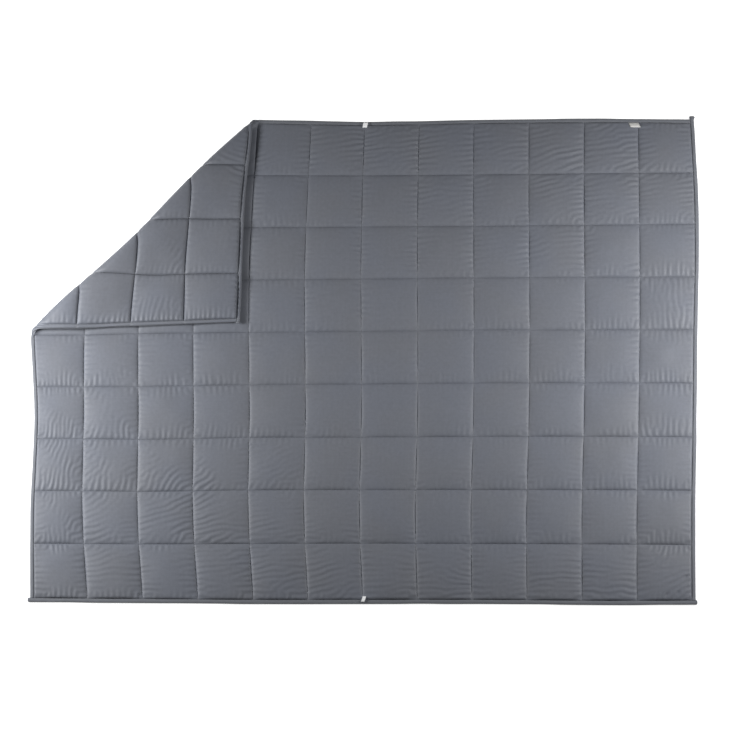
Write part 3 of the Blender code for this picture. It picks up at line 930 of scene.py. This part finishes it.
# %% [markdown]
# ## Materials
#
# A material is a small net of nodes. Patterns read the `cloth` attribute, the place on the flat
# cloth, so threads run with the seams, over the fold as well.

# %% Helpers for materials
STEADY = {"Metallic": 0.0, "IOR": 1.5, "Sheen Roughness": 0.5}  # the same for all of these fibres


def linear(hex_colour):
    """A screen colour as light: c / 12.92 up to 0.04045, ((c + 0.055) / 1.055)^2.4 above it."""
    channels = np.array([int(hex_colour[i : i + 2], 16) for i in (1, 3, 5)]) / 255
    low, high = channels / 12.92, ((channels + 0.055) / 1.055) ** 2.4
    return (*np.where(channels <= 0.04045, low, high), 1.0)


def add_node(tree, kind, settings=(), values=(), links=(), out=0):
    """Adds a node with its settings, its sockets' values and what each linked socket comes from.
    Returns the one output that is used."""
    node = tree.nodes.new("ShaderNode" + kind)
    for name, value in dict(settings).items():
        setattr(node, name, value)
    for socket, value in dict(values).items():
        node.inputs[socket].default_value = value
    for socket, source in dict(links).items():
        tree.links.new(source, node.inputs[socket])
    return node.outputs[out]


def new_material(name, values):
    """A material with its steady values on the shader's own sockets, its nodes, and where each point
    lies on the flat cloth."""
    made = bpy.data.materials.new(name)
    made.use_nodes = True
    for socket, value in {**STEADY, **values}.items():
        made.node_tree.nodes["Principled BSDF"].inputs[socket].default_value = value
    place = add_node(made.node_tree, "Attribute", {"attribute_name": "cloth"}, out="Vector")
    return made, made.node_tree, place


def dress(pieces, material, colour, height=None, strength=0.0, deep=0.2 * MM):
    """Links the colour, and a bump of this height if there is one, and puts the material on."""
    tree = material.node_tree
    shader = tree.nodes["Principled BSDF"]
    tree.links.new(colour, shader.inputs["Base Color"])
    if height is not None:
        depth = {"Strength": strength, "Distance": deep}
        bump = add_node(tree, "Bump", values=depth, links={"Height": height})
        tree.links.new(bump, shader.inputs["Normal"])
    for piece in pieces:
        piece.data.materials.append(material)
    print("dressed", len(pieces), "pieces in", material.name)


print(f"a screen's middle grey is {linear('#808080')[0]:.2f} of its light")

# %% [markdown]
# ### Cover cloth: brushed cotton percale, piece dyed
#
# A plain weave of about 30 threads to the centimetre, dyed slate grey and brushed soft. To the eye it
# is nearly matt, with a soft, low gloss on the slopes that face a light. Its threads are a third of a
# millimetre apart, too fine to show, so the weave is drawn with threads of 1.3 mm. Uneven yarn gives
# thin streaks both ways, the brushed nap a faint grain, and the dye is bluer in some places.

# %% Weave, uneven yarn and dye
WAVE_PERIOD = 2 * math.pi / 20  # what Blender's wave texture gives at a scale of 1, in metres
WEAVE_PITCH = 1.3 * MM  # four times the real one
MOST_NOISE = (0.35, 0.65)  # nearly all of a noise lies between these


def woven_height(tree, cloth, pitch, *directions):
    """The height of a weave: a sine wave for each direction of its threads, multiplied."""
    scale = {"Scale": WAVE_PERIOD / pitch}
    waves = [
        add_node(tree, "TexWave", {"bands_direction": one}, scale, {"Vector": cloth}, "Fac")
        for one in directions
    ]
    if len(waves) == 1:
        return waves[0]
    return add_node(tree, "Math", {"operation": "MULTIPLY"}, links=dict(enumerate(waves)))


def streaks(tree, cloth, long_scale, fine_scale, seed):
    """Noise stretched along u and along v, and the mean of the two: yarns of uneven thickness."""
    parts = []
    for scale in ((long_scale, fine_scale, 1.0), (fine_scale, long_scale, 1.0)):
        place = {"Scale": scale, "Location": (seed, seed, 0.0)}
        stretched = add_node(tree, "Mapping", values=place, links={"Vector": cloth})
        size = {"Scale": 1.0, "Detail": 2.0}
        parts.append(add_node(tree, "TexNoise", values=size, links={"Vector": stretched}))
    both = add_node(tree, "Math", {"operation": "ADD"}, links=dict(enumerate(parts)))
    return add_node(tree, "Math", {"operation": "MULTIPLY"}, {1: 0.5}, {0: both})


def dyed(tree, factor, low, high, dark, light):
    """A colour between two, by where the factor lies between low and high."""
    span = {"From Min": low, "From Max": high}
    share = add_node(tree, "MapRange", values=span, links={"Value": factor})
    ends = {6: linear(dark), 7: linear(light)}
    return add_node(tree, "Mix", {"data_type": "RGBA"}, ends, {0: share}, 2)


# %% Brushed cotton percale
brushed = {"Roughness": 0.56, "Sheen Weight": 0.06}
percale, tree, cloth = new_material("brushed_cotton_percale_slate", brushed)
yarn = streaks(tree, cloth, 5.0, 260.0, 3.0)
warm = dyed(tree, yarn, *MOST_NOISE, "#777a82", "#7a7d85")
blue = dyed(tree, yarn, *MOST_NOISE, "#767a84", "#797d87")
blotch = add_node(tree, "TexNoise", values={"Scale": 4.5, "Detail": 3.0}, links={"Vector": cloth})
soft_span = {"From Min": 0.38, "From Max": 0.62}
shade = add_node(tree, "MapRange", values=soft_span, links={"Value": blotch})
dyes = add_node(tree, "Mix", {"data_type": "RGBA"}, links={0: shade, 6: warm, 7: blue}, out=2)
nap = add_node(tree, "TexNoise", values={"Scale": 110.0, "Detail": 1.0}, links={"Vector": cloth})
grain = dyed(tree, nap, 0.3, 0.7, "#f7f7f7", "#ffffff")
multiply = {"data_type": "RGBA", "blend_type": "MULTIPLY"}
colour = add_node(tree, "Mix", multiply, {0: 1.0}, {6: dyes, 7: grain}, 2)
dress(pads, percale, colour, woven_height(tree, cloth, WEAVE_PITCH, "X", "Y"), 0.2)

# %% [markdown]
# ### Binding: the same cotton, cut on the bias
#
# The binding is a strip of the cover's own cloth, cut at 45 degrees so that it bends round corners.
# Its threads run diagonally, and being folded and pressed it looks a touch darker and more matt.

# %% Bias-cut cotton tape
bias, tree, cloth = new_material("bias_cut_cotton_tape_slate", {"Roughness": 0.78, "Sheen Weight": 0.12})
half_right = {"Rotation": (0.0, 0.0, math.radians(45))}
turned = add_node(tree, "Mapping", values=half_right, links={"Vector": cloth})
colour = dyed(tree, streaks(tree, turned, 8.0, 320.0, 9.0), *MOST_NOISE, "#767980", "#7c7f86")
dress(bindings, bias, colour, woven_height(tree, turned, WEAVE_PITCH, "X", "Y"), 0.25)

# %% [markdown]
# ### Thread, loop tape and label
#
# The thread is spun polyester, drawn much darker than the cloth: partly its own darker grey, partly
# # painted shade of the groove it lies sunk in. The loops are bleached cotton twill tape, whose ribs run
# # diagonally, with a faint painted glow that makes them whiter than the lights alone would. The label
# # is an off-white woven satin: smooth, with a soft shine across its width.

# %% Spun polyester thread
thread, tree, _ = new_material("spun_polyester_thread_dark_with_painted_groove_shade", {"Roughness": 0.6})
place = add_node(tree, "TexCoord", out="Object")
ply = add_node(tree, "TexNoise", values={"Scale": 300.0}, links={"Vector": place})
# painted shade: the thread's dark grey also stands for the shade in the seams and grooves it lies in
dress(threads, thread, dyed(tree, ply, *MOST_NOISE, "#34363b", "#42444a"))

# %% Bleached cotton twill, with a painted glow that makes it whiter than the lights do
# painted light: the tape glows a little, though it is no lamp, to look whiter
painted_glow = {"Emission Color": linear("#f8faff"), "Emission Strength": 0.2}
cotton = {"Roughness": 0.8, "Sheen Weight": 0.1}
twill, tree, cloth = new_material("bleached_cotton_twill_tape", {**cotton, **painted_glow})
rib = woven_height(tree, cloth, 1.2 * MM, "DIAGONAL")
dress(ribbons[:2], twill, dyed(tree, rib, 0.0, 1.0, "#f0f0ef", "#fbfbfa"), rib, 0.5)

# %% Woven satin label, blank
satin, tree, cloth = new_material("woven_satin_label_off_white", {"Roughness": 0.42, "Anisotropic": 0.5})
float_yarn = woven_height(tree, cloth, 1 * MM, "Y")
cream = dyed(tree, float_yarn, 0.0, 1.0, "#e6e5e1", "#f3f2f0")
dress(ribbons[2:], satin, cream, float_yarn, 0.25, 0.1 * MM)

# %% [markdown]
# ## The studio
#
# The blanket lies on seamless white paper between two soft lights, one beyond each end. Each rakes
# across the half beside it, so the seams are bright on the side that faces it, and the middle is a
# little darker than the ends. The paper glows, as if lit from behind. From below it is clear, so that
# the underside shows.

# %% Floor
FLOOR_HALF = 20.0
FLOOR_GAP = 0.4 * MM  # below the blanket, so that the two never share a surface
SQUARE = ((-1, -1), (1, -1), (1, 1), (-1, 1))
GLOW = {"Emission Color": linear("#ffffff"), "Emission Strength": 0.8}
PAPER = {"Base Color": linear("#f4f4f4"), "Roughness": 0.9, **GLOW}
paper, tree, _ = new_material("seamless_white_paper", PAPER)
side = add_node(tree, "NewGeometry", out="Backfacing")
clear = add_node(tree, "BsdfTransparent")
solid = tree.nodes["Principled BSDF"].outputs[0]
one_sided = add_node(tree, "MixShader", links={0: side, 1: solid, 2: clear})
tree.links.new(one_sided, tree.nodes["Material Output"].inputs["Surface"])
floor_mesh = bpy.data.meshes.new("floor")
floor_corners = [(x * FLOOR_HALF, y * FLOOR_HALF, cad_low.z - FLOOR_GAP) for x, y in SQUARE]
floor_mesh.from_pydata(floor_corners, [], [(0, 1, 2, 3)])
floor = bpy.data.objects.new("floor", floor_mesh)
show(floor)
floor.data.materials.append(paper)
floor.visible_diffuse = False
print(f"paper {2 * FLOOR_HALF:.0f} m across")

# %% Lights
SOFTBOX_SIZE = (0.8, 0.6)
SOFTBOX_SPREAD = math.radians(100.0)
world = bpy.data.worlds.new("studio")
bpy.context.scene.world = world
world.use_nodes = True
sky = world.node_tree.nodes["Background"].inputs
sky["Color"].default_value = linear("#ffffff")
sky["Strength"].default_value = 0.08
SOFTBOXES = (
    # name, place, aim, watts: the grid in front of each narrows its beam to the spread
    ("softbox_left", (-2.1, -0.03, 1.2), (-1.0, -0.03, 0.0), 16.5),
    ("softbox_right", (1.9, 0.05, 1.19), (0.78, 0.05, 0.0), 10.8),
)

for name, place, aim, watts in SOFTBOXES:
    lamp = bpy.data.lights.new(name, "AREA")
    lamp.shape = "RECTANGLE"
    lamp.size, lamp.size_y = SOFTBOX_SIZE
    lamp.spread = SOFTBOX_SPREAD
    lamp.energy = watts
    light = bpy.data.objects.new(name, lamp)
    light.location = place
    light.rotation_euler = (Vector(aim) - Vector(place)).to_track_quat("-Z", "Y").to_euler()
    light.visible_camera = False
    show(light)
print(len(SOFTBOXES), "softboxes")

# %% [markdown]
# ## The camera
#
# A long lens from far away keeps the edges nearly parallel. It looks down from 16 degrees off the
# vertical, on the side of the lower edge.

# %% Camera
CAMERA_TILT = math.radians(16.2)
CAMERA_FAR = 25.0
FOCAL_LENGTH = 8240 / 730  # in widths of the image
AIM = np.array([4.5, -18.0, 0.0]) * MM + TO_FRAME

camera_data = bpy.data.cameras.new("camera")
camera_data.lens = FOCAL_LENGTH * camera_data.sensor_width
camera_data.clip_end = 4 * CAMERA_FAR
camera = bpy.data.objects.new("camera", camera_data)
camera.location = AIM + CAMERA_FAR * np.array([0.0, -math.sin(CAMERA_TILT), math.cos(CAMERA_TILT)])
camera.rotation_euler = (CAMERA_TILT, 0.0, 0.0)
show(camera)
bpy.context.scene.camera = camera
bpy.context.scene.view_settings.view_transform = "Standard"
print(f"lens of {camera_data.lens:.0f} mm, {CAMERA_FAR:.0f} m away")
